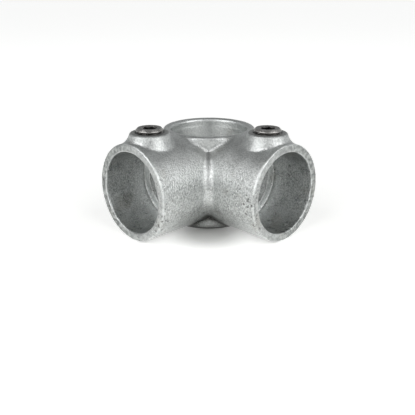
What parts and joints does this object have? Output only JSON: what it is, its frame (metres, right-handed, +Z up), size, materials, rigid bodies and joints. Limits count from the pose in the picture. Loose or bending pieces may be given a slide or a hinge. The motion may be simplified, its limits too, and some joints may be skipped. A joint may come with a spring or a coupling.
{
  "type": "three-way corner clamp for round tube",
  "caption": "Cast corner clamp: an upright sleeve and two rail sockets at right angles join round tubes, each locked by a hex socket set screw in a raised boss.",
  "frame": {"origin": "the point where the three tube axes cross, halfway up the upright sleeve", "axes": "+Z up along the upright, +X along the right rail's socket, -Y along the left rail's socket"},
  "size_m": [0.0985, 0.0985, 0.0674],
  "materials": {
    "galvanised_casting": "hot-dip galvanised over a rough sand-cast skin",
    "screw_steel": "dark turned steel"
  },
  "bodies": {
    "casting": {"clamp_body": "galvanised_casting"},
    "right_screw": {"right_rail_screw": "screw_steel"},
    "left_screw": {"left_rail_screw": "screw_steel"},
    "rear_screw": {"upright_screw": "screw_steel"}
  },
  "joints": [
    {"name": "right_screw_travel", "type": "slide", "parent": "casting", "child": "right_screw", "axis": [0, 0, -1], "range_m": [-0.004, 0.003]},
    {"name": "left_screw_travel", "type": "slide", "parent": "casting", "child": "left_screw", "axis": [0, 0, -1], "range_m": [-0.004, 0.003]},
    {"name": "rear_screw_travel", "type": "slide", "parent": "casting", "child": "rear_screw", "axis": [0.7071, -0.7071, 0], "range_m": [-0.004, 0.003]}
  ]
}
